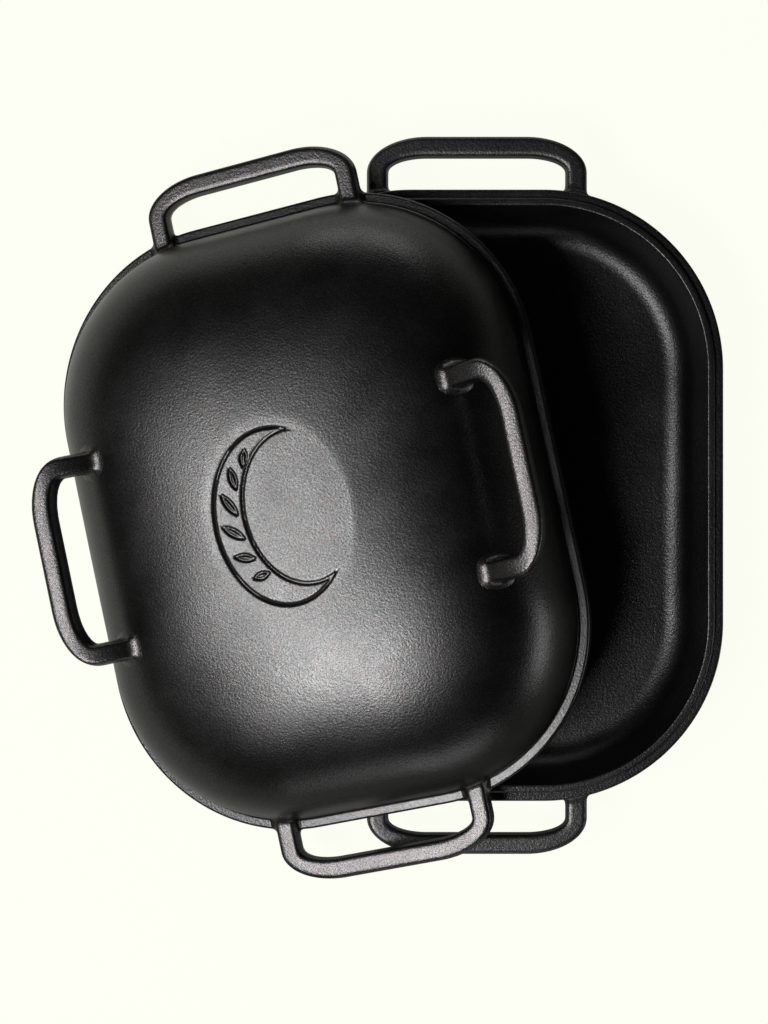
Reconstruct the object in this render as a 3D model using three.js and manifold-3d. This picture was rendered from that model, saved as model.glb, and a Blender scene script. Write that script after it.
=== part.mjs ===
// Two-piece cast-iron loaf pan: a shallow base tray and a domed lid, in millimetres, +Z up.
// The lid has been lifted off and leans on the base: its left rim edge is on the table and
// its two ends lie across the base's rim. The origin is the centre of the base's underside,
// +Y runs along the base's long axis.
import * as THREE from "three";
import { mergeVertices } from "three/addons/utils/BufferGeometryUtils.js";
import Module from "manifold-3d";

const wasm = await Module();
wasm.setup();

// ---- driving dimensions (millimetres and degrees) ----

// Outline of the pan seen from above: a rectangle with large round corners.
const RIM_HALF_WIDTH = 141;
const RIM_HALF_LENGTH = 175.3;
const RIM_CORNER_RADIUS = 103;
const CORNER_STEPS = 10;
const LONG_SIDE_STEPS = 4;
const SHORT_SIDE_STEPS = 3;

// Base tray. Its outside and inside are given as steps: how far each step lies in from the
// rim (or from the lip's inner face), and its height above the table.
const BASE_HEIGHT = 42;
const BASE_RIM_DEPTH = 9;
const BASE_EDGE_CHAMFER = 1;
const FLOOR_THICKNESS = 5.5;
const BASE_OUTSIDE_STEPS = [
  { inset: 30, height: 0 },
  { inset: 17, height: 3.5 },
  { inset: 10, height: 12 },
  { inset: 5, height: 30 },
];
const BASE_INSIDE_STEPS = [
  { inset: 5, height: 24 },
  { inset: 9, height: 14 },
  { inset: 16, height: 8 },
  { inset: 26, height: FLOOR_THICKNESS },
];
const LEDGE_WIDTH = 5.2;
const LIP_WIDTH = 4.3;
const LIP_HEIGHT = 3;
const LIP_OUTER_ROUND = { across: 0.6, down: 0.6, draft: 0.4 };
const LIP_INNER_ROUND = { across: 0.8, down: 1 };

// Lid.
const LID_OVERHANG = 0.5;
const LID_HEIGHT = 86;
const CROWN_THICKNESS = 6;
const FLANGE_THICKNESS = 9;
const FLANGE_EDGE_CHAMFER = 1;
const FLANGE_TOP_WIDTH = 6;
const CONTACT_WIDTH = 5;
const REBATE_DEPTH = 4;
const LID_WALL = 5.5;
const PLATEAU_HALF_WIDTH = 41;
const PLATEAU_HALF_LENGTH = 54;
const DOME_STEPS = 10;

// Control points of the dome's profile: part of the way in to the plateau, and part of the
// way up.
const DOME_WALL_CONTROL = { inwards: 0.065, upwards: 0.72 };
const DOME_SHOULDER_CONTROL = { inwards: 0.34, upwards: 0.955 };

// Loop handles, all of one section.
const END_HANDLE_HALF_WIDTH = 63.6;
const END_HANDLE_REACH = 31.6;
const HANDLE_BAR = 12.9;
const HANDLE_POST = 12.8;
const HANDLE_THICKNESS = 13;
const HANDLE_EDGE_ROUND = 2;
const HANDLE_CORNER_ACROSS = 35;
const HANDLE_CORNER_OUT = 21;
const HANDLE_FOOT = -18;
const HANDLE_POST_STEPS = 5;
const BASE_HANDLE_DROP = 1.5;
const LID_END_HANDLE_LIFT = 0.5;

// The top handles rise from the lid's shoulders and level out towards their bars.
const TOP_HANDLE_HALF_WIDTH = 59.3;
const TOP_HANDLE_REACH = 35.6;
const TOP_HANDLE_ROOT_X = 105;
const TOP_HANDLE_ROOT_Z = 59.5;
const TOP_HANDLE_ROOT_SLOPE = 0.85;
const TOP_HANDLE_LEVELS_OUT_AT = 33;

// Gap between a handle's foot and the shell that it stands on.
const JOINT_GAP = 0.3;

// How the lid lies: turned, tipped down to the left, and shifted from the base's centre.
const LID_YAW = 12.4;
const LID_TIP_LEFT = 14.1;
const LID_TIP_ENDWAYS = 1.02;
const LID_CENTRE = new THREE.Vector3(-89, -10.2, 36.9);

// ---- outlines ----

// Stations round the outline. Each has the point that it is offset from and its outward
// direction, so that any inset of the outline has the same number of points.
function makeStations() {
  const stations = [];
  const centreX = RIM_HALF_WIDTH - RIM_CORNER_RADIUS;
  const centreY = RIM_HALF_LENGTH - RIM_CORNER_RADIUS;
  const corners = [[1, 1], [-1, 1], [-1, -1], [1, -1]];
  corners.forEach(([signX, signY], corner) => {
    for (let step = 0; step <= CORNER_STEPS; step += 1) {
      const angle = (corner + step / CORNER_STEPS) * Math.PI / 2;
      stations.push({
        x: signX * centreX,
        y: signY * centreY,
        out: new THREE.Vector2(Math.cos(angle), Math.sin(angle)),
      });
    }
    const isShortSide = corner % 2 === 0;
    const sideSteps = isShortSide ? SHORT_SIDE_STEPS : LONG_SIDE_STEPS;
    const [nextX, nextY] = corners[(corner + 1) % corners.length];
    for (let step = 1; step < sideSteps; step += 1) {
      const part = step / sideSteps;
      stations.push({
        x: THREE.MathUtils.lerp(signX, nextX, part) * centreX,
        y: THREE.MathUtils.lerp(signY, nextY, part) * centreY,
        out: stations[stations.length - step].out,
      });
    }
  });
  return stations;
}

const STATIONS = makeStations();

// The outline moved inwards by inset, at height z.
function outlineRing(inset, z) {
  const radius = RIM_CORNER_RADIUS - inset;
  return STATIONS.map(({ x, y, out }) => (
    new THREE.Vector3(x + out.x * radius, y + out.y * radius, z)
  ));
}

// The ellipse that bounds the flat plateau on the lid's crown, with one point per station.
function plateauRing(z) {
  return outlineRing(FLANGE_TOP_WIDTH, z).map((point) => {
    const angle = Math.atan2(point.y / RIM_HALF_LENGTH, point.x / RIM_HALF_WIDTH);
    return new THREE.Vector3(
      PLATEAU_HALF_WIDTH * Math.cos(angle),
      PLATEAU_HALF_LENGTH * Math.sin(angle),
      z,
    );
  });
}

// Rings from a foot outline up to the plateau. The profile rises steeply, turns over a wide
// shoulder and runs almost flat into the plateau.
function domeRings(footInset, footZ, crownZ) {
  const rise = crownZ - footZ;
  const profile = new THREE.CubicBezierCurve(
    new THREE.Vector2(0, footZ),
    new THREE.Vector2(DOME_WALL_CONTROL.inwards, footZ + DOME_WALL_CONTROL.upwards * rise),
    new THREE.Vector2(
      DOME_SHOULDER_CONTROL.inwards,
      footZ + DOME_SHOULDER_CONTROL.upwards * rise,
    ),
    new THREE.Vector2(1, crownZ),
  );
  return profile.getPoints(DOME_STEPS).map((step) => {
    const foot = outlineRing(footInset, step.y);
    const crown = plateauRing(step.y);
    return foot.map((point, index) => point.lerp(crown[index], step.x));
  });
}

// ---- meshes ----

// A closed body from a stack of rings: neighbouring rings are joined all the way round, and
// the first and last rings are closed by a flat cap.
function bodyFromRings(rings) {
  const count = STATIONS.length;
  const positions = [];
  const triangles = [];
  rings.forEach((ring) => ring.forEach(({ x, y, z }) => positions.push(x, y, z)));
  for (let ring = 0; ring + 1 < rings.length; ring += 1) {
    for (let index = 0; index < count; index += 1) {
      const next = (index + 1) % count;
      const lowerA = ring * count + index;
      const lowerB = ring * count + next;
      const upperA = lowerA + count;
      const upperB = lowerB + count;
      triangles.push(lowerA, lowerB, upperB, lowerA, upperB, upperA);
    }
  }
  addCap(positions, triangles, rings[0], 0, false);
  addCap(positions, triangles, rings[rings.length - 1], (rings.length - 1) * count, true);
  const geometry = new THREE.BufferGeometry();
  geometry.setAttribute("position", new THREE.Float32BufferAttribute(positions, 3));
  geometry.setIndex(triangles);
  return geometry;
}

function addCap(positions, triangles, ring, firstIndex, facesAlongStack) {
  const centre = positions.length / 3;
  positions.push(0, 0, ring[0].z);
  for (let index = 0; index < ring.length; index += 1) {
    const here = firstIndex + index;
    const next = firstIndex + (index + 1) % ring.length;
    triangles.push(centre, ...(facesAlongStack ? [here, next] : [next, here]));
  }
}

function toManifold(geometry) {
  const bare = geometry.clone();
  bare.deleteAttribute("normal");
  bare.deleteAttribute("uv");
  const merged = mergeVertices(bare, 1e-4);
  return new wasm.Manifold(new wasm.Mesh({
    numProp: 3,
    vertProperties: new Float32Array(merged.attributes.position.array),
    triVerts: new Uint32Array(merged.index.array),
  }));
}

function fromManifold(solid) {
  const mesh = solid.getMesh();
  const geometry = new THREE.BufferGeometry();
  geometry.setAttribute("position", new THREE.BufferAttribute(mesh.vertProperties, 3));
  geometry.setIndex(new THREE.BufferAttribute(mesh.triVerts, 1));
  return geometry;
}

// ---- the two shells ----

// Outside of the base from the underside up to its ledge. grow moves it outwards.
function baseOutside(grow) {
  return [
    ...BASE_OUTSIDE_STEPS.map(({ inset, height }) => outlineRing(inset - grow, height - grow)),
    outlineRing(-grow, BASE_HEIGHT - BASE_RIM_DEPTH - grow),
    outlineRing(-grow, BASE_HEIGHT - BASE_EDGE_CHAMFER),
    outlineRing(BASE_EDGE_CHAMFER - grow, BASE_HEIGHT),
  ];
}

// Ledge, raised lip and inside of the base down to its floor.
function baseInside() {
  const lipTop = BASE_HEIGHT + LIP_HEIGHT;
  const lipInset = LEDGE_WIDTH + LIP_WIDTH;
  return [
    outlineRing(LEDGE_WIDTH, BASE_HEIGHT),
    outlineRing(LEDGE_WIDTH + LIP_OUTER_ROUND.draft, lipTop - LIP_OUTER_ROUND.down),
    outlineRing(LEDGE_WIDTH + LIP_OUTER_ROUND.draft + LIP_OUTER_ROUND.across, lipTop),
    outlineRing(lipInset - LIP_INNER_ROUND.across, lipTop),
    outlineRing(lipInset, lipTop - LIP_INNER_ROUND.down),
    ...BASE_INSIDE_STEPS.map(({ inset, height }) => outlineRing(lipInset + inset, height)),
  ];
}

function basePanGeometry() {
  return bodyFromRings([...baseOutside(0), ...baseInside()]);
}

// Outside of the lid, from the edge of the flange's underside up to the plateau.
function lidOutside(grow) {
  const edge = -LID_OVERHANG - grow;
  return [
    outlineRing(edge + FLANGE_EDGE_CHAMFER, -grow),
    outlineRing(edge, FLANGE_EDGE_CHAMFER - grow),
    outlineRing(edge, FLANGE_THICKNESS - FLANGE_EDGE_CHAMFER + grow),
    outlineRing(edge + FLANGE_EDGE_CHAMFER, FLANGE_THICKNESS + grow),
    ...domeRings(FLANGE_TOP_WIDTH - grow, FLANGE_THICKNESS + grow, LID_HEIGHT + grow),
  ];
}

// Underside of the lid, from the crown down the inner wall to the flange's contact face.
function lidInside() {
  const wallFoot = FLANGE_TOP_WIDTH + LID_WALL;
  const inner = domeRings(wallFoot, REBATE_DEPTH, LID_HEIGHT - CROWN_THICKNESS);
  return [
    ...inner.reverse(),
    outlineRing(CONTACT_WIDTH, REBATE_DEPTH),
    outlineRing(CONTACT_WIDTH, 0),
  ];
}

function lidDomeGeometry() {
  return bodyFromRings([...lidInside(), ...lidOutside(0)]);
}

// ---- handles ----

// Straight edge of a handle's post at one x, in steps, so that the post can curve upwards.
function addPostEdge(shape, x, fromY, toY) {
  for (let step = 0; step <= HANDLE_POST_STEPS; step += 1) {
    shape.lineTo(x, THREE.MathUtils.lerp(fromY, toY, step / HANDLE_POST_STEPS));
  }
}

// Outline of a loop handle lying flat: X is across, Y points away from the pan. The posts
// start behind Y = 0 and are cut to the shell afterwards.
function loopShape(outerX, reach) {
  const innerX = outerX - HANDLE_POST;
  const cornerY = reach - HANDLE_CORNER_OUT;
  const outerCornerX = outerX - HANDLE_CORNER_ACROSS;
  const innerCornerAcross = HANDLE_CORNER_ACROSS - HANDLE_POST;
  const innerCornerOut = HANDLE_CORNER_OUT - HANDLE_BAR;
  const quarter = Math.PI / 2;
  const shape = new THREE.Shape();
  shape.moveTo(outerX, HANDLE_FOOT);
  addPostEdge(shape, outerX, HANDLE_FOOT, cornerY);
  shape.absellipse(
    outerCornerX, cornerY, HANDLE_CORNER_ACROSS, HANDLE_CORNER_OUT, 0, quarter,
  );
  shape.absellipse(
    -outerCornerX, cornerY, HANDLE_CORNER_ACROSS, HANDLE_CORNER_OUT, quarter, 2 * quarter,
  );
  addPostEdge(shape, -outerX, cornerY, HANDLE_FOOT);
  addPostEdge(shape, -innerX, HANDLE_FOOT, cornerY);
  shape.absellipse(
    -outerCornerX, cornerY, innerCornerAcross, innerCornerOut, 2 * quarter, quarter, true,
  );
  shape.absellipse(
    outerCornerX, cornerY, innerCornerAcross, innerCornerOut, quarter, 0, true,
  );
  addPostEdge(shape, innerX, cornerY, HANDLE_FOOT);
  return shape;
}

function loopGeometry(halfWidth, reach) {
  const geometry = new THREE.ExtrudeGeometry(loopShape(halfWidth, reach), {
    depth: HANDLE_THICKNESS - 2 * HANDLE_EDGE_ROUND,
    bevelThickness: HANDLE_EDGE_ROUND,
    bevelSize: HANDLE_EDGE_ROUND,
    bevelOffset: -HANDLE_EDGE_ROUND,
    bevelSegments: 2,
    curveSegments: 6,
  });
  return geometry.translate(0, 0, HANDLE_EDGE_ROUND);
}

// Cuts a handle's posts where they meet the shell.
function cutToShell(handle, shell) {
  return fromManifold(toManifold(handle).subtract(toManifold(shell)));
}

// A handle on the end of a shell, side +1 or -1 along Y, with its underside at height z.
function endHandleGeometry(side, z, shell) {
  const geometry = loopGeometry(END_HANDLE_HALF_WIDTH, END_HANDLE_REACH);
  geometry.translate(0, RIM_HALF_LENGTH, z);
  if (side < 0) {
    geometry.rotateZ(Math.PI);
  }
  return cutToShell(geometry, shell);
}

// Height of a top handle's underside at distance out from its root: a parabola that starts
// steeply and levels out.
function topHandleRise(out) {
  return TOP_HANDLE_ROOT_SLOPE * (out - out * out / (2 * TOP_HANDLE_LEVELS_OUT_AT));
}

// A handle on the lid's shoulder, side +1 or -1 along X, rising outwards.
function topHandleGeometry(side, shell) {
  const geometry = loopGeometry(TOP_HANDLE_HALF_WIDTH, TOP_HANDLE_REACH);
  const { position } = geometry.attributes;
  for (let index = 0; index < position.count; index += 1) {
    position.setZ(index, position.getZ(index) + topHandleRise(position.getY(index)));
  }
  geometry.rotateZ(-Math.PI / 2);
  geometry.translate(TOP_HANDLE_ROOT_X, 0, TOP_HANDLE_ROOT_Z);
  if (side < 0) {
    geometry.rotateZ(Math.PI);
  }
  return cutToShell(geometry, shell);
}

// ---- assembly ----

// Seasoned black iron: the base is a little darker and duller than the lid and the handles.
const BASE_IRON = { color: 0x1d1c1c, roughness: 0.55, metalness: 0.6 };
const BASE_HANDLE_IRON = { color: 0x232222, roughness: 0.5, metalness: 0.6 };
const LID_IRON = { color: 0x222121, roughness: 0.5, metalness: 0.6 };
const LID_HANDLE_IRON = { color: 0x282727, roughness: 0.5, metalness: 0.6 };

function addPiece(parent, name, geometry, iron) {
  const mesh = new THREE.Mesh(geometry, new THREE.MeshStandardMaterial(iron));
  mesh.name = name;
  parent.add(mesh);
}

function makeBase() {
  const base = new THREE.Group();
  const shell = bodyFromRings(baseOutside(JOINT_GAP));
  const handleZ = BASE_HEIGHT - BASE_HANDLE_DROP - HANDLE_THICKNESS;
  const front = endHandleGeometry(-1, handleZ, shell);
  const rear = endHandleGeometry(1, handleZ, shell);
  addPiece(base, "base_pan", basePanGeometry(), BASE_IRON);
  addPiece(base, "base_end_handle_front", front, BASE_HANDLE_IRON);
  addPiece(base, "base_end_handle_rear", rear, BASE_HANDLE_IRON);
  return base;
}

function makeLid() {
  const lid = new THREE.Group();
  const shell = bodyFromRings(lidOutside(JOINT_GAP));
  const front = endHandleGeometry(-1, LID_END_HANDLE_LIFT, shell);
  const rear = endHandleGeometry(1, LID_END_HANDLE_LIFT, shell);
  addPiece(lid, "lid_dome", lidDomeGeometry(), LID_IRON);
  addPiece(lid, "lid_end_handle_front", front, LID_HANDLE_IRON);
  addPiece(lid, "lid_end_handle_rear", rear, LID_HANDLE_IRON);
  addPiece(lid, "lid_top_handle_left", topHandleGeometry(-1, shell), LID_HANDLE_IRON);
  addPiece(lid, "lid_top_handle_right", topHandleGeometry(1, shell), LID_HANDLE_IRON);
  lid.rotation.set(
    THREE.MathUtils.degToRad(LID_TIP_ENDWAYS),
    THREE.MathUtils.degToRad(-LID_TIP_LEFT),
    THREE.MathUtils.degToRad(LID_YAW),
    "XYZ",
  );
  lid.position.copy(LID_CENTRE);
  return lid;
}

const loafPan = new THREE.Group();
loafPan.add(makeBase(), makeLid());

export default loafPan;
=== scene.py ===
"""Two-piece cast-iron loaf pan: a shallow tray, and its domed lid leaning across it, from above.

Shapes are worked out in millimetres and stored in metres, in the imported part's own frame.
"""

import math

import bpy
import numpy as np
from mathutils import Matrix, Vector
from mathutils.bvhtree import BVHTree


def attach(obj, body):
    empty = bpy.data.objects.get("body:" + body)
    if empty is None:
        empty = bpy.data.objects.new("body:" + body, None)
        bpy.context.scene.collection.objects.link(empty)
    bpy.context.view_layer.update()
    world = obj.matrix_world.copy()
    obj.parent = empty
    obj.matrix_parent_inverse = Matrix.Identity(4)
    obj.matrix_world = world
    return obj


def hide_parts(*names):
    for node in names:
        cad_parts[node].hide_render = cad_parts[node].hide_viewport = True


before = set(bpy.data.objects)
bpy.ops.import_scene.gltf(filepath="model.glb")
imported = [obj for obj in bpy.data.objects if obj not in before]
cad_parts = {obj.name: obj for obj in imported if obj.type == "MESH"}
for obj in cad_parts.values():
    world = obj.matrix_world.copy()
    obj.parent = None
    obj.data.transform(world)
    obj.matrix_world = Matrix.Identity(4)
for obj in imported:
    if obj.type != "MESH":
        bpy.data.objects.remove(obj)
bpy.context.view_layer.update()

MM = 0.001

# ---- the pan's driving dimensions, in millimetres and degrees ----

RIM_HALF_WIDTH = 141
RIM_HALF_LENGTH = 175.3
RIM_CORNER_RADIUS = 103

BASE_HEIGHT = 42
BASE_HANDLE_TOP = 40.5
BASE_RIM_DEPTH = 9.5
BASE_EDGE_ROUND = 1.2
LEDGE_WIDTH = 5.2
LIP_WIDTH = 4.2
LIP_HEIGHT = 3
LIP_ROUND = 1
FLOOR_THICKNESS = 5.5

# The tray's walls lean inwards towards their feet: how far in from the rim each foot is, and the
# round between the wall and the floor or the underside.
BASE_OUTER_FOOT = 14.5
BASE_OUTER_FOOT_ROUND = 15
BASE_INNER_FOOT = 18.2
BASE_INNER_FOOT_ROUND = 15.5

# Both the underside and the floor are flat from this far inside the rim.
FLAT_INSET = 60

LID_OVERHANG = 0.5
LID_HEIGHT = 86
CROWN_THICKNESS = 6
FLANGE_THICKNESS = 9
FLANGE_TOP_WIDTH = 6
FLANGE_FILLET_RISE = 2.5
CONTACT_WIDTH = 5
REBATE_DEPTH = 4
LID_WALL = 5.5
PLATEAU_HALF_WIDTH = 41
PLATEAU_HALF_LENGTH = 54

# The dome's profile, as control points: part of the way in to the plateau, and up to the crown.
DOME_WALL_CONTROL = (0.065, 0.72)
DOME_SHOULDER_CONTROL = (0.34, 0.93)

HANDLE_BAR = 12.9
HANDLE_POST = 12.8
HANDLE_THICKNESS = 13
HANDLE_EDGE_ROUND = 1.6
HANDLE_DRAFT = 0.2
HANDLE_CORNER = (35, 21)
END_ROOT_FILLET = 4
TOP_ROOT_FILLET = 5
SHELL_EXTENSION = 25
END_HANDLE_HALF_WIDTH = 63.6
END_HANDLE_REACH = 31.6
LID_END_HANDLE_LIFT = 0.5
TOP_HANDLE_HALF_WIDTH = 59.3
TOP_HANDLE_REACH = 35.6
TOP_HANDLE_ROOT_X = 105
TOP_HANDLE_ROOT_Z = 59.5
TOP_HANDLE_ROOT_SLOPE = 0.85
TOP_HANDLE_LEVELS_OUT_AT = 33

# How the lid lies on the base: turned about its own upright axis, then tipped left, then endways.
LID_YAW = math.radians(12.4)
LID_TIP_LEFT = math.radians(14.1)
LID_TIP_ENDWAYS = math.radians(1.02)
LID_CENTRE = Vector((-89, -10.2, 36.9))
LID_PLACE = (
    Matrix.Translation(LID_CENTRE)
    @ Matrix.Rotation(LID_TIP_ENDWAYS, 4, "X")
    @ Matrix.Rotation(-LID_TIP_LEFT, 4, "Y")
    @ Matrix.Rotation(LID_YAW, 4, "Z")
)

# ---- fineness ----

CORNER_STEPS = 84
LONG_SIDE_STEPS = 44
SHORT_SIDE_STEPS = 24
DOME_OUTSIDE_STEPS = 56
DOME_INSIDE_STEPS = 24
PLATEAU_STEPS = 80
SHARP_ANGLE = 50
VOXEL = 1.0


# ---- outlines and profiles ----

def make_stations():
    """Points and outward directions round the pan's outline, the same for every inset of it."""
    centre = np.array([RIM_HALF_WIDTH, RIM_HALF_LENGTH]) - RIM_CORNER_RADIUS
    signs = np.array([[1, 1], [-1, 1], [-1, -1], [1, -1]])
    points = []
    directions = []
    for corner in range(4):
        for angle in np.linspace(corner, corner + 1, CORNER_STEPS + 1) * math.pi / 2:
            points.append(signs[corner] * centre)
            directions.append([math.cos(angle), math.sin(angle)])
        steps = SHORT_SIDE_STEPS if corner % 2 == 0 else LONG_SIDE_STEPS
        here = signs[corner] * centre
        there = signs[(corner + 1) % 4] * centre
        for part in np.linspace(0, 1, steps + 1)[1:-1]:
            points.append(here + (there - here) * part)
            directions.append(directions[-1])
    return np.array(points), np.array(directions)


STATION_POINTS, STATION_DIRECTIONS = make_stations()
STATION_COUNT = len(STATION_POINTS)


def outline_ring(inset, z):
    """The outline moved inwards by inset, at height z."""
    flat = STATION_POINTS + STATION_DIRECTIONS * (RIM_CORNER_RADIUS - inset)
    return np.column_stack([flat, np.full(STATION_COUNT, z)])


def plateau_ring(scale, z):
    """The ellipse round the crown's plateau, or a smaller copy of it."""
    foot = outline_ring(FLANGE_TOP_WIDTH, 0)
    angle = np.arctan2(foot[:, 1] / RIM_HALF_LENGTH, foot[:, 0] / RIM_HALF_WIDTH)
    return np.column_stack([
        scale * PLATEAU_HALF_WIDTH * np.cos(angle),
        scale * PLATEAU_HALF_LENGTH * np.sin(angle),
        np.full(STATION_COUNT, z),
    ])


def rounded_profile(corners, arc_steps=6):
    """Profile points from (inset, z, radius) corners, each corner turned into an arc."""
    points = [np.array(corners[0][:2], float)]
    for before, here, after in zip(corners, corners[1:], corners[2:]):
        corner = np.array(here[:2], float)
        back = np.array(before[:2], float) - corner
        ahead = np.array(after[:2], float) - corner
        back /= np.linalg.norm(back)
        ahead /= np.linalg.norm(ahead)
        half_turn = math.acos(np.clip(back @ ahead, -1, 1)) / 2
        tangent = here[2] / math.tan(half_turn)
        inwards = (back + ahead) / np.linalg.norm(back + ahead)
        middle = corner + inwards * here[2] / math.sin(half_turn)
        start = corner + back * tangent - middle
        end = corner + ahead * tangent - middle
        swing = math.atan2(start[0] * end[1] - start[1] * end[0], start @ end)
        for turn in np.linspace(0, swing, arc_steps + 1):
            cos, sin = math.cos(turn), math.sin(turn)
            turned = [cos * start[0] - sin * start[1], sin * start[0] + cos * start[1]]
            points.append(middle + np.array(turned))
    points.append(np.array(corners[-1][:2], float))
    return points


def rings_from_profile(profile):
    return [outline_ring(inset, z) for inset, z in profile]


def dome_rings(foot_inset, foot_z, crown_z, steps):
    """Rings from a foot outline up to the plateau: steep, a wide shoulder, then almost flat."""
    rise = crown_z - foot_z
    control = np.array([
        [0, foot_z],
        [DOME_WALL_CONTROL[0], foot_z + DOME_WALL_CONTROL[1] * rise],
        [DOME_SHOULDER_CONTROL[0], foot_z + DOME_SHOULDER_CONTROL[1] * rise],
        [1, crown_z],
    ])
    rings = []
    for t in np.linspace(0, 1, steps + 1):
        weights = np.array([(1 - t) ** 3, 3 * t * (1 - t) ** 2, 3 * t * t * (1 - t), t ** 3])
        part, z = weights @ control
        rings.append(outline_ring(foot_inset, z) * (1 - part) + plateau_ring(1, z) * part)
    return rings


# ---- meshes ----

def mesh_object(name, points, faces, place=Matrix.Identity(4)):
    """A smooth-shaded mesh from points in millimetres, placed by a millimetre matrix."""
    turn = np.array(place.to_3x3())
    shift = np.array(place.translation)
    mesh = bpy.data.meshes.new(name)
    mesh.from_pydata(((points @ turn.T + shift) * MM).tolist(), [], faces)
    mesh.update()
    mesh.polygons.foreach_set("use_smooth", [True] * len(mesh.polygons))
    piece = bpy.data.objects.new(name, mesh)
    bpy.context.scene.collection.objects.link(piece)
    return piece


def ring_body(rings):
    """Points and faces of a closed body from a stack of rings, closed by a flat cap at each end."""
    count = STATION_COUNT
    here = np.arange(count)
    ahead = (here + 1) % count
    faces = [tuple(here[::-1])]
    for level in range(len(rings) - 1):
        low = level * count
        high = low + count
        faces.extend(np.column_stack([low + here, low + ahead, high + ahead, high + here]).tolist())
    faces.append(tuple(here + (len(rings) - 1) * count))
    return np.vstack(rings), faces


def mark_sharp_edges(piece):
    piece.data.set_sharp_from_angle(angle=math.radians(SHARP_ANGLE))


# ---- the base tray ----

def base_outside_profile():
    rim_foot = BASE_HEIGHT - BASE_RIM_DEPTH
    return rounded_profile([
        (FLAT_INSET, 0, 0),
        (BASE_OUTER_FOOT, 0, BASE_OUTER_FOOT_ROUND),
        (6.5, rim_foot - 3.5, 4),
        (0, rim_foot, 1.6),
        (0, BASE_HEIGHT, BASE_EDGE_ROUND),
        (3, BASE_HEIGHT, 0),
    ])


def base_inside_profile():
    lip_top = BASE_HEIGHT + LIP_HEIGHT
    return rounded_profile([
        (LEDGE_WIDTH - 1, BASE_HEIGHT, 0),
        (LEDGE_WIDTH, BASE_HEIGHT, 0.5),
        (LEDGE_WIDTH + 0.5, lip_top, LIP_ROUND),
        (LEDGE_WIDTH + LIP_WIDTH, lip_top, LIP_ROUND),
        (BASE_INNER_FOOT, FLOOR_THICKNESS, BASE_INNER_FOOT_ROUND),
        (FLAT_INSET, FLOOR_THICKNESS, 0),
    ], arc_steps=12)


def make_base_pan():
    points, faces = ring_body(rings_from_profile(base_outside_profile() + base_inside_profile()))
    piece = mesh_object("base_pan_casting", points, faces)
    mark_sharp_edges(piece)
    return piece


# ---- the lid ----

def lid_outside_rings():
    dome_foot = FLANGE_THICKNESS + FLANGE_FILLET_RISE
    edge = rounded_profile([
        (3, 0, 0),
        (-LID_OVERHANG, 0, 1),
        (-LID_OVERHANG, FLANGE_THICKNESS, 1.5),
        (FLANGE_TOP_WIDTH, FLANGE_THICKNESS, 1.8),
        (FLANGE_TOP_WIDTH, dome_foot, 0),
    ])
    dome = dome_rings(FLANGE_TOP_WIDTH, dome_foot, LID_HEIGHT, DOME_OUTSIDE_STEPS)
    return rings_from_profile(edge[:-1]) + dome


def lid_inside_rings():
    wall_foot = FLANGE_TOP_WIDTH + LID_WALL
    dome_foot = REBATE_DEPTH + 2
    crown = dome_rings(wall_foot, dome_foot, LID_HEIGHT - CROWN_THICKNESS, DOME_INSIDE_STEPS)[::-1]
    rebate = rounded_profile([
        (wall_foot, dome_foot, 0),
        (wall_foot, REBATE_DEPTH, 1.5),
        (CONTACT_WIDTH, REBATE_DEPTH, 0.5),
        (CONTACT_WIDTH, 0, 0.5),
        (CONTACT_WIDTH - 1, 0, 0),
    ])
    return crown + rings_from_profile(rebate[1:])


def ellipse_distance(x, y, centre, half_width, half_length):
    """Close to the signed distance from an ellipse, negative inside."""
    ratio_x, ratio_y = (x - centre[0]) / half_width, (y - centre[1]) / half_length
    ratio = np.hypot(ratio_x, ratio_y)
    slope = np.maximum(np.hypot(ratio_x / half_width, ratio_y / half_length), 1e-6)
    return ratio * (ratio - 1) / slope


def motif_depth(x, y):
    """Depth of the engraving on the plateau: a plain crescent roll with slanted scores across it."""
    line_width = 0.85
    line_depth = 0.9
    score_angles = (118, 141, 164, 187, 210, 233)
    score_slant = 0.8
    score_bow = 1.5
    outer = ellipse_distance(x, y, (0, 0), 36, 48)
    inner = ellipse_distance(x, y, (13, 3), 32, 42)
    nearest = np.abs(np.maximum(outer, -inner))
    for degrees in score_angles:
        angle = math.radians(degrees)
        middle_x, middle_y = 27 * math.cos(angle), 38 * math.sin(angle) + 1
        half_length = 7 - abs(degrees - 175) / 20
        heading = angle - score_slant
        across = (x - middle_x) * math.cos(heading) + (y - middle_y) * math.sin(heading)
        off = (y - middle_y) * math.cos(heading) - (x - middle_x) * math.sin(heading)
        along = np.clip(across, -half_length, half_length)
        bow = score_bow * (1 - (along / half_length) ** 2)
        for side in (-1, 1):
            nearest = np.minimum(nearest, np.hypot(across - along, off - side * bow))
    return line_depth * np.exp(-(nearest / line_width) ** 2)


def plateau_rings(steps):
    """Rings over the plateau, from its edge to close to its centre, sunk where it is engraved."""
    rings = []
    for scale in np.linspace(1, 0.02, steps + 1)[1:]:
        ring = plateau_ring(scale, LID_HEIGHT)
        ring[:, 2] -= motif_depth(ring[:, 0], ring[:, 1])
        rings.append(ring)
    return rings


def make_lid_dome():
    rings = lid_inside_rings() + lid_outside_rings() + plateau_rings(PLATEAU_STEPS)
    points, faces = ring_body(rings)
    piece = mesh_object("lid_dome_casting", points, faces, LID_PLACE)
    mark_sharp_edges(piece)
    return piece


# ---- handles, as the surface where a distance field is zero ----

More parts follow.
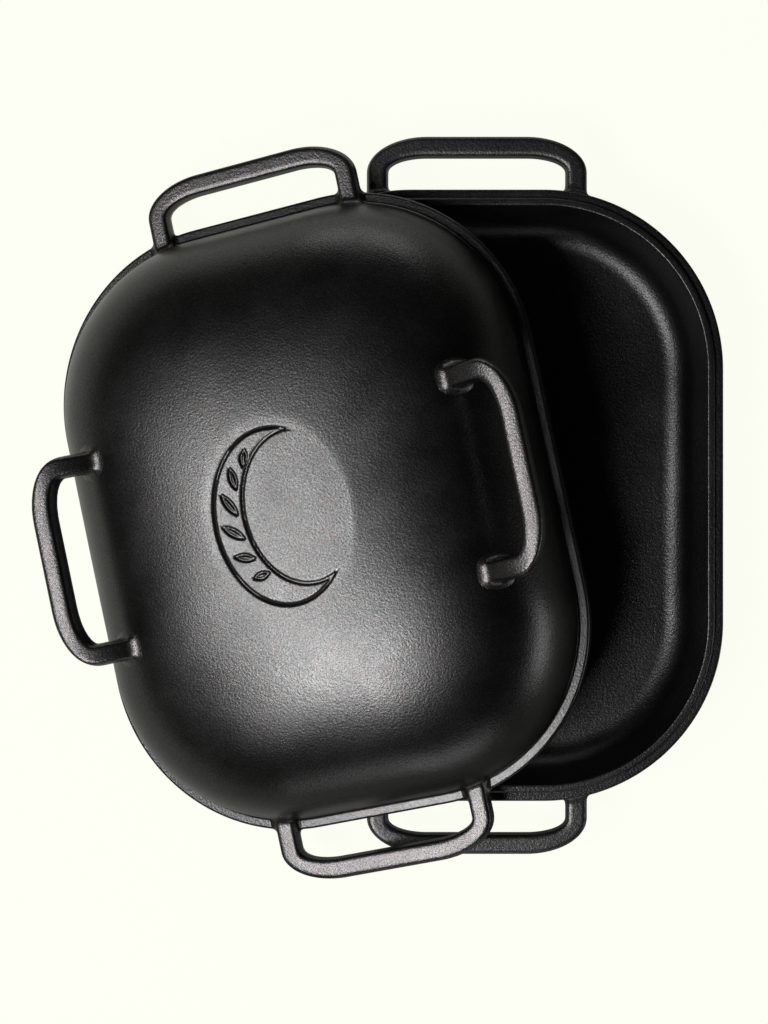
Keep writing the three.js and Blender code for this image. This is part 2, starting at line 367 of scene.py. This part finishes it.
def corner_distance(across, out, half_width, reach, corner):
    """Distance to a tab of that half width and reach whose two corners are ellipse quarters."""
    past_x = across - (half_width - corner[0])
    past_y = out - (reach - corner[1])
    ratio_x, ratio_y = past_x / corner[0], past_y / corner[1]
    ratio = np.hypot(ratio_x, ratio_y)
    slope = np.maximum(np.hypot(ratio_x / corner[0], ratio_y / corner[1]), 1e-6)
    round_part = ratio * (ratio - 1) / slope
    straight_part = np.maximum(across - half_width, out - reach)
    return np.where((past_x > 0) & (past_y > 0), round_part, straight_part)


def loop_distance(across, out, height, half_width, reach):
    """Distance to a loop handle: across it, out from the pan, and height over its middle plane."""
    across = np.abs(across)
    outer = corner_distance(across, out, half_width, reach, HANDLE_CORNER)
    inner_corner = (HANDLE_CORNER[0] - HANDLE_POST, HANDLE_CORNER[1] - HANDLE_BAR)
    inner = corner_distance(across, out, half_width - HANDLE_POST, reach - HANDLE_BAR, inner_corner)
    in_plane = np.maximum(outer, -inner) + HANDLE_DRAFT * np.abs(height) + HANDLE_EDGE_ROUND
    off_plane = np.abs(height) - HANDLE_THICKNESS / 2 + HANDLE_EDGE_ROUND
    outside = np.hypot(np.maximum(in_plane, 0), np.maximum(off_plane, 0))
    return outside + np.minimum(np.maximum(in_plane, off_plane), 0) - HANDLE_EDGE_ROUND


def shell_distance(tree, points):
    """Signed distance to a filled shell, negative inside."""
    distances = np.empty(len(points))
    for index, point in enumerate(points):
        spot, normal, _, distance = tree.find_nearest(Vector(point))
        distances[index] = distance if (Vector(point) - spot).dot(normal) > 0 else -distance
    return distances


def blended(first, second, width):
    """Both distances joined with a fillet of about that width."""
    share = np.clip(0.5 + 0.5 * (second - first) / width, 0, 1)
    return second + (first - second) * share - width * share * (1 - share)


def surface_nets(field, low, step):
    """Points and quads of the surface where the field is zero: one point in each cell it crosses."""
    inside = field < 0
    cells = tuple(size - 1 for size in field.shape)
    total = np.zeros(cells + (3,))
    crossings = np.zeros(cells)
    corners = [np.array(corner) for corner in np.ndindex(2, 2, 2)]

    def at_corner(values, corner):
        return values[tuple(slice(corner[axis], corner[axis] + cells[axis]) for axis in range(3))]

    for start in corners:
        for axis in range(3):
            if start[axis]:
                continue
            end = start.copy()
            end[axis] = 1
            crossed = at_corner(inside, start) != at_corner(inside, end)
            value, next_value = at_corner(field, start), at_corner(field, end)
            part = np.where(crossed, value / np.where(crossed, value - next_value, 1), 0)
            for other in range(3):
                total[..., other] += crossed * (part if other == axis else start[other])
            crossings += crossed
    used = crossings > 0
    numbers = np.full(cells, -1)
    numbers[used] = np.arange(used.sum())
    points = np.argwhere(used) + total[used] / crossings[used][:, None]
    faces = []
    for axis in range(3):
        side_a, side_b = (axis + 1) % 3, (axis + 2) % 3
        ahead = np.roll(inside, -1, axis=axis)
        for entering in (False, True):
            spots = np.argwhere((inside != ahead) & (inside == entering))
            keep = spots[:, axis] < cells[axis]
            for side in (side_a, side_b):
                keep &= (spots[:, side] > 0) & (spots[:, side] < cells[side])
            spots = spots[keep]
            quad = []
            for back_a, back_b in ((0, 0), (1, 0), (1, 1), (0, 1)):
                cell = spots.copy()
                cell[:, side_a] -= back_a
                cell[:, side_b] -= back_b
                quad.append(numbers[tuple(cell.T)])
            faces.append(np.column_stack(quad if entering else quad[::-1]))
    return low + points * step, np.vstack(faces)


def handle_piece(name, distance, keep_inside, low, high, shell, fillet, place=Matrix.Identity(4)):
    """A handle that flows into its shell. Its roots sink a little way into the shell and end there."""
    sink = 2.4
    hidden_by = 0.05
    far_away = 1000.0
    axes = [np.arange(low[axis], high[axis] + VOXEL, VOXEL) for axis in range(3)]
    grid = np.stack(np.meshgrid(*axes, indexing="ij"), axis=-1)
    handle = distance(grid)
    near = handle < fillet + 2 * VOXEL
    shell_field = np.full(handle.shape, far_away)
    shell_field[near] = shell_distance(shell, grid[near])
    field = blended(handle, shell_field, fillet) + hidden_by
    field = np.maximum(field, -(shell_field + sink))
    field = np.maximum(field, handle - fillet)
    field = np.maximum(field, keep_inside(grid))
    points, faces = surface_nets(field, np.array(low, float), VOXEL)
    piece = mesh_object(name, points, faces.tolist(), place)
    smooth = piece.modifiers.new("even_surface", "SMOOTH")
    smooth.factor = 0.5
    smooth.iterations = 2
    return piece


def tree_from_rings(rings):
    points, faces = ring_body(rings)
    return BVHTree.FromPolygons(points.tolist(), faces)


def base_shell_tree():
    """The tray as a filled shell, its wall carried on upwards past the rim's rounded edge."""
    wall = [point for point in base_outside_profile() if point[1] < BASE_HEIGHT - 1.5]
    return tree_from_rings(rings_from_profile(wall + [(0, BASE_HEIGHT + SHELL_EXTENSION)]))


def lid_shell_tree():
    """The lid as a filled shell, its edge carried on downwards past the flange's rounded edge."""
    below = outline_ring(-LID_OVERHANG, -SHELL_EXTENSION)
    return tree_from_rings([below] + [ring for ring in lid_outside_rings() if ring[0, 2] > 1.2])


def end_handle(name, side, top, shell, clip_above, clip_below, place=Matrix.Identity(4)):
    """A handle on a shell's end, side +1 or -1 along Y, kept between two heights."""
    middle = top - HANDLE_THICKNESS / 2

    def distance(grid):
        out = side * grid[..., 1] - RIM_HALF_LENGTH
        height = grid[..., 2] - middle
        return loop_distance(grid[..., 0], out, height, END_HANDLE_HALF_WIDTH, END_HANDLE_REACH)

    def keep_inside(grid):
        return np.maximum(grid[..., 2] - clip_above, clip_below - grid[..., 2])

    ends = sorted([side * (RIM_HALF_LENGTH - 12), side * (RIM_HALF_LENGTH + END_HANDLE_REACH + 3)])
    low = (-END_HANDLE_HALF_WIDTH - 9, ends[0], top - HANDLE_THICKNESS - 6)
    high = (END_HANDLE_HALF_WIDTH + 9, ends[1], top + 6)
    return handle_piece(name, distance, keep_inside, low, high, shell, END_ROOT_FILLET, place)


def top_handle(name, side, shell):
    """A handle on the lid's shoulder, side +1 or -1 along X, that rises and levels out."""
    lowest_root = 40

    def distance(grid):
        out = side * grid[..., 0] - TOP_HANDLE_ROOT_X
        slope = TOP_HANDLE_ROOT_SLOPE * (1 - out / TOP_HANDLE_LEVELS_OUT_AT)
        rise = TOP_HANDLE_ROOT_SLOPE * (out - out ** 2 / (2 * TOP_HANDLE_LEVELS_OUT_AT))
        height = grid[..., 2] - (TOP_HANDLE_ROOT_Z + HANDLE_THICKNESS / 2 + rise)
        height = height / np.sqrt(1 + slope ** 2)
        return loop_distance(grid[..., 1], out, height, TOP_HANDLE_HALF_WIDTH, TOP_HANDLE_REACH)

    def keep_inside(grid):
        return lowest_root - grid[..., 2]

    reach = TOP_HANDLE_ROOT_X + TOP_HANDLE_REACH + 3
    ends = sorted([side * (TOP_HANDLE_ROOT_X - 22), side * reach])
    low = (ends[0], -TOP_HANDLE_HALF_WIDTH - 13, TOP_HANDLE_ROOT_Z - 20)
    high = (ends[1], TOP_HANDLE_HALF_WIDTH + 13, LID_HEIGHT + 7)
    return handle_piece(name, distance, keep_inside, low, high, shell, TOP_ROOT_FILLET, LID_PLACE)


# ---- materials ----

# Noise scales per metre: sand is the grain that glints, pebbles are the bumps.
SAND_SCALE = 1400.0
SPECK_SCALE = 700.0
PATCH_SCALE = 38.0
PEBBLE_SCALE = 800.0
PEBBLE_DEPTH = 0.0004
SAND_CONTRAST = 0.38
FLOOR_TONE = (0.955, 0.972, 0.879, 1)

def add_node(tree, kind, **inputs):
    node = tree.nodes.new(kind)
    for name, value in inputs.items():
        node.inputs[name.replace("_", " ")].default_value = value
    return node


def add_colour_mix(tree, first, second):
    node = tree.nodes.new("ShaderNodeMix")
    node.data_type = "RGBA"
    node.inputs["A"].default_value = (*first, 1)
    node.inputs["B"].default_value = (*second, 1)
    return node


def cast_iron(name, sheen, tint, roughness, grain):
    """Seasoned sand-cast iron: dark and satin, with a sandy grain that glints and brown specks."""
    material = bpy.data.materials.new(name)
    material.use_nodes = True
    tree = material.node_tree
    link = tree.links.new
    shader = tree.nodes["Principled BSDF"]
    shader.inputs["Metallic"].default_value = 1.0
    place = add_node(tree, "ShaderNodeTexCoord").outputs["Object"]

    sand = add_node(tree, "ShaderNodeTexNoise", Scale=SAND_SCALE, Detail=1.0, Roughness=0.5)
    link(place, sand.inputs["Vector"])
    glint = add_node(tree, "ShaderNodeMapRange", From_Min=0.3, From_Max=0.7)
    link(sand.outputs["Fac"], glint.inputs["Value"])
    dull = [(1 - SAND_CONTRAST) * part for part in sheen]
    bright = [(1 + SAND_CONTRAST) * part for part in sheen]
    iron = add_colour_mix(tree, dull, bright)
    link(glint.outputs["Result"], iron.inputs["Factor"])

    specks = add_node(tree, "ShaderNodeTexNoise", Scale=SPECK_SCALE, Detail=2.0, Roughness=0.6)
    link(place, specks.inputs["Vector"])
    speck_mask = add_node(tree, "ShaderNodeMapRange", From_Min=0.6, From_Max=0.72)
    link(specks.outputs["Fac"], speck_mask.inputs["Value"])
    coloured = add_colour_mix(tree, sheen, tint)
    link(iron.outputs["Result"], coloured.inputs["A"])
    link(speck_mask.outputs["Result"], coloured.inputs["Factor"])
    link(coloured.outputs["Result"], shader.inputs["Base Color"])

    patches = add_node(tree, "ShaderNodeTexNoise", Scale=PATCH_SCALE, Detail=4.0, Roughness=0.6)
    link(place, patches.inputs["Vector"])
    gloss = add_node(tree, "ShaderNodeMapRange", From_Min=0.3, From_Max=0.7,
                     To_Min=roughness - 0.03, To_Max=roughness + 0.04)
    link(patches.outputs["Fac"], gloss.inputs["Value"])
    link(gloss.outputs["Result"], shader.inputs["Roughness"])

    pebbles = add_node(tree, "ShaderNodeTexNoise", Scale=PEBBLE_SCALE, Detail=2.0, Roughness=0.6)
    link(place, pebbles.inputs["Vector"])
    bump = add_node(tree, "ShaderNodeBump", Strength=grain, Distance=PEBBLE_DEPTH)
    link(pebbles.outputs["Fac"], bump.inputs["Height"])
    link(bump.outputs["Normal"], shader.inputs["Normal"])
    return material


def pale_floor_material():
    """A sheet that glows though it is no lamp: evenly bright to the camera, while its glow that the
    iron mirrors and is lit by is dimmer, a painted pool of light that fades away from the key light.
    """
    material = bpy.data.materials.new("pale_floor")
    material.use_nodes = True
    tree = material.node_tree
    link = tree.links.new
    shader = tree.nodes["Principled BSDF"]
    shader.inputs["Base Color"].default_value = (0.03, 0.03, 0.027, 1)
    shader.inputs["Roughness"].default_value = 0.9
    shader.inputs["Specular IOR Level"].default_value = 0.0
    shader.inputs["Emission Color"].default_value = FLOOR_TONE
    place = tree.nodes.new("ShaderNodeSeparateXYZ")
    link(add_node(tree, "ShaderNodeTexCoord").outputs["Object"], place.inputs["Vector"])
    # Painted pool of light: the glow that other rays see is strongest on the key light's side and
    # fades away from it.
    away = tree.nodes.new("ShaderNodeMath")
    away.operation = "MULTIPLY_ADD"
    away.inputs[1].default_value = -0.5
    link(place.outputs["Y"], away.inputs[0])
    link(place.outputs["X"], away.inputs[2])
    painted_light_pool = add_node(tree, "ShaderNodeMapRange",
                        From_Min=-0.35, From_Max=0.2, To_Min=0.66, To_Max=0.1)
    link(away.outputs["Value"], painted_light_pool.inputs["Value"])
    glow = add_node(tree, "ShaderNodeMapRange", To_Max=1.0)
    link(tree.nodes.new("ShaderNodeLightPath").outputs["Is Camera Ray"], glow.inputs["Value"])
    link(painted_light_pool.outputs["Result"], glow.inputs["To Min"])
    link(glow.outputs["Result"], shader.inputs["Emission Strength"])
    return material


# ---- stage ----

def make_floor():
    bpy.ops.mesh.primitive_plane_add(size=12)
    floor = bpy.context.object
    floor.name = "floor"
    floor.data.materials.append(pale_floor_material())


def aim(thing, place, target):
    """Puts a lamp or camera at a place in millimetres, looking at a target."""
    thing.location = Vector(place) * MM
    look = Vector(target) * MM - thing.location
    thing.rotation_euler = look.to_track_quat("-Z", "Y").to_euler()


def softbox(name, place, target, width, height, power):
    """A rectangular lamp whose width lies level, in millimetres and watts."""
    lamp = bpy.data.lights.new(name, "AREA")
    lamp.shape = "RECTANGLE"
    lamp.size = width * MM
    lamp.size_y = height * MM
    lamp.energy = power
    box = bpy.data.objects.new(name, lamp)
    bpy.context.scene.collection.objects.link(box)
    aim(box, place, target)


def make_backdrop():
    """A wall of the floor's tone behind the scene, which gives almost no light."""
    world = bpy.data.worlds.new("studio")
    bpy.context.scene.world = world
    world.use_nodes = True
    tree = world.node_tree
    background = tree.nodes["Background"]
    background.inputs["Color"].default_value = FLOOR_TONE
    seen = add_node(tree, "ShaderNodeMapRange", To_Min=0.01, To_Max=1.0)
    camera_ray = tree.nodes.new("ShaderNodeLightPath").outputs["Is Camera Ray"]
    tree.links.new(camera_ray, seen.inputs["Value"])
    tree.links.new(seen.outputs["Result"], background.inputs["Strength"])


def make_lights():
    """Two overhead boxes make the highlights, and three low ones keep the sides readable."""
    softbox("key", (-860, -110, 1150), (-110, -12, 121), 460, 240, 9.5)
    softbox("front_key", (-450, -480, 1050), (-60, -60, 60), 340, 260, 9)
    softbox("right_fill", (1500, -420, 150), (0, 0, 40), 900, 300, 3.5)
    softbox("front_fill", (250, -1500, 200), (-60, 0, 40), 1100, 400, 2.5)
    softbox("rear_fill", (-100, 1500, 200), (-60, 0, 40), 1100, 400, 3)


def make_camera():
    """Straight down over the middle of the view, at the height that shows 440 mm across the rim."""
    view_width = 440
    distance = 1200
    view_centre = Vector((-53.5, -9.6, BASE_HEIGHT))
    lens = bpy.data.cameras.new("camera")
    lens.sensor_fit = "HORIZONTAL"
    lens.sensor_width = 36
    lens.lens = lens.sensor_width * distance / view_width
    camera = bpy.data.objects.new("camera", lens)
    camera.location = (view_centre + Vector((0, 0, distance))) * MM
    bpy.context.scene.collection.objects.link(camera)
    bpy.context.scene.camera = camera


# ---- assembly ----

def dress(piece, body, node, material):
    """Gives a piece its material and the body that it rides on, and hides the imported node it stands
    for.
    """
    piece.data.materials.append(material)
    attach(piece, body)
    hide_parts(node)


def build():
    make_camera()
    make_floor()
    make_backdrop()
    make_lights()
    base_iron = cast_iron("base_iron", (0.058, 0.058, 0.058), (0.08, 0.053, 0.048), 0.38, 0.6)
    # The tray's handle iron is a brighter copy of the tray's iron. The extra tone is a painted
    # highlight that makes the handles read as better lit.
    base_handle_iron = cast_iron(
        "base_handle_iron", (0.08, 0.078, 0.078), (0.11, 0.075, 0.07), 0.41, 0.55)
    lid_iron = cast_iron("lid_iron", (0.055, 0.055, 0.055), (0.075, 0.05, 0.045), 0.33, 0.35)
    # Painted highlight here too: the lid's handle iron is a brighter copy of the lid's iron.
    lid_handle_iron = cast_iron(
        "lid_handle_iron", (0.067, 0.065, 0.065), (0.097, 0.062, 0.057), 0.35, 0.45)

    base_tree = base_shell_tree()
    lid_tree = lid_shell_tree()
    dress(make_base_pan(), "base", "base_pan", base_iron)
    dress(make_lid_dome(), "lid", "lid_dome", lid_iron)
    for end, side in (("rear", 1), ("front", -1)):
        base_handle = end_handle(
            f"base_{end}_handle_casting", side, BASE_HANDLE_TOP, base_tree, BASE_HEIGHT - 0.4, 0)
        dress(base_handle, "base", f"base_end_handle_{end}", base_handle_iron)
        lid_handle = end_handle(
            f"lid_{end}_handle_casting", side, LID_END_HANDLE_LIFT + HANDLE_THICKNESS,
            lid_tree, LID_HEIGHT, 0.1, LID_PLACE)
        dress(lid_handle, "lid", f"lid_end_handle_{end}", lid_handle_iron)
    for place, side in (("right", 1), ("left", -1)):
        handle = top_handle(f"lid_{place}_handle_casting", side, lid_tree)
        dress(handle, "lid", f"lid_top_handle_{place}", lid_handle_iron)
    bpy.context.scene.view_settings.view_transform = "Standard"


build()
